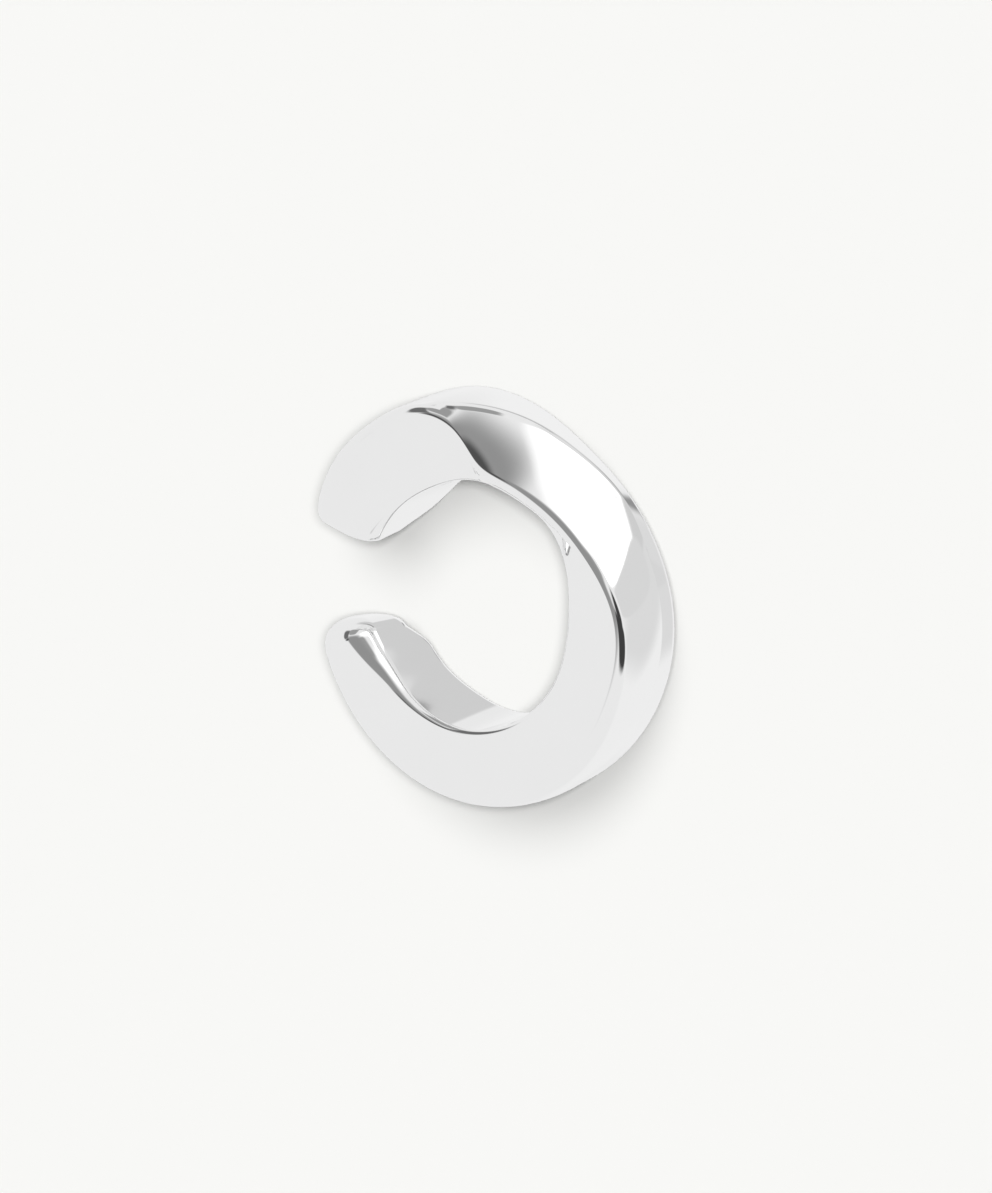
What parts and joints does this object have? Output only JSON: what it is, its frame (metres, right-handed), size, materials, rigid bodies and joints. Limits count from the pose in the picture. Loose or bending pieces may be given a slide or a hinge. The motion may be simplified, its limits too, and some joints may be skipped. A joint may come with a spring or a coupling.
{
  "type": "ear cuff",
  "caption": "Open C-shaped ear cuff in polished silver: a rounded-square band whose front edge twists over to the inner wall and back, with domed ends.",
  "frame": {"origin": "under the middle of the cuff, on the surface that its flat back lies on", "axes": "+Z along the ring's axis, from the flat back to the front face; the mouth opens toward -X"},
  "size_m": [0.0126, 0.0126, 0.0027],
  "materials": {
    "silver": "mirror-polished silver"
  },
  "bodies": {
    "root": {"cuff_band": "silver"}
  },
  "joints": []
}
